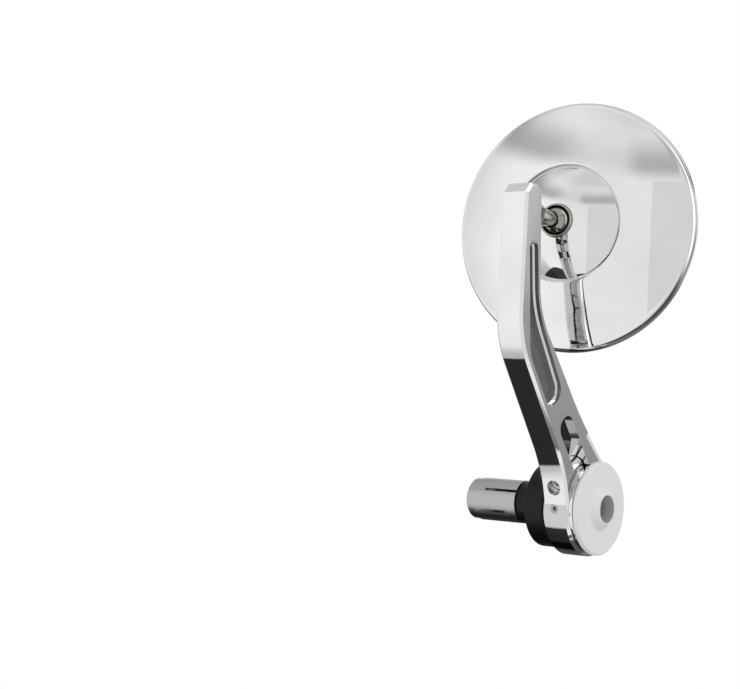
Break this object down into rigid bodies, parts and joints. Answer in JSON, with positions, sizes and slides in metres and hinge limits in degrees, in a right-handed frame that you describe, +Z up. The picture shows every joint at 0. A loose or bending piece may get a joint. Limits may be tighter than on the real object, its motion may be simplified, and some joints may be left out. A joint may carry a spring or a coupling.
{
  "type": "bar end mirror",
  "caption": "Round rear view mirror with a domed back, held by a ball joint on a cranked arm that clamps round an adapter in a handlebar's open end.",
  "frame": {"origin": "on the bar axis where the adapter's collar meets the end of the handlebar", "axes": "+X outboard along the bar axis, +Y rearward to the rider, +Z up along the arm's straight part"},
  "size_m": [0.0995, 0.0772, 0.18],
  "materials": {
    "adapter_black": "satin black anodised",
    "steel_small": "plain",
    "cap_satin": "fine satin",
    "bolt_steel": "polished",
    "arm_metal": "chromed, mirror polish with a satin outboard face",
    "stud_steel": "polished",
    "liner_polymer": "smooth moulded",
    "head_chrome": "chromed, mirror polish",
    "soft_black": "foam",
    "mirror_face": "silvered glass",
    "seal_black": "smooth"
  },
  "bodies": {
    "bar_end": {"bar_adapter": "adapter_black", "expander_sleeve": "steel_small", "cone_nut": "steel_small", "end_cap": "cap_satin", "bolt_washer": "steel_small", "cap_bolt": "bolt_steel"},
    "arm_body": {"arm": "arm_metal", "clamp_screw": "bolt_steel", "grub_screw": "steel_small", "lock_nut": "stud_steel", "ball_stud": "stud_steel"},
    "pan_body": {"ball_liner": "liner_polymer"},
    "tilt_body": {"seat_cup": "liner_polymer", "wave_spring": "steel_small"},
    "head_body": {"hub": "head_chrome", "retaining_ring": "stud_steel", "head_shell": "head_chrome", "hub_screws": "steel_small", "backing_pad": "soft_black", "mirror_glass": "mirror_face", "glass_seal": "seal_black"}
  },
  "joints": [
    {"name": "arm_swing", "type": "hinge", "parent": "bar_end", "child": "arm_body", "pos_m": [0.01575, 0, 0], "axis": [1, 0, 0], "range_deg": [-90, 90]},
    {"name": "head_pan", "type": "hinge", "parent": "arm_body", "child": "pan_body", "pos_m": [0.01575, -0.0268, 0.1108], "axis": [0, 0, 1], "range_deg": [-26.9, 9.1]},
    {"name": "head_tilt", "type": "hinge", "parent": "pan_body", "child": "tilt_body", "pos_m": [0.01575, -0.0268, 0.1108], "axis": [0.988, 0.1547, 0], "range_deg": [-18, 18]},
    {"name": "head_spin", "type": "hinge", "parent": "tilt_body", "child": "head_body", "pos_m": [0.01575, -0.0268, 0.1108], "axis": [0.1547, -0.988, 0], "continuous": true}
  ]
}
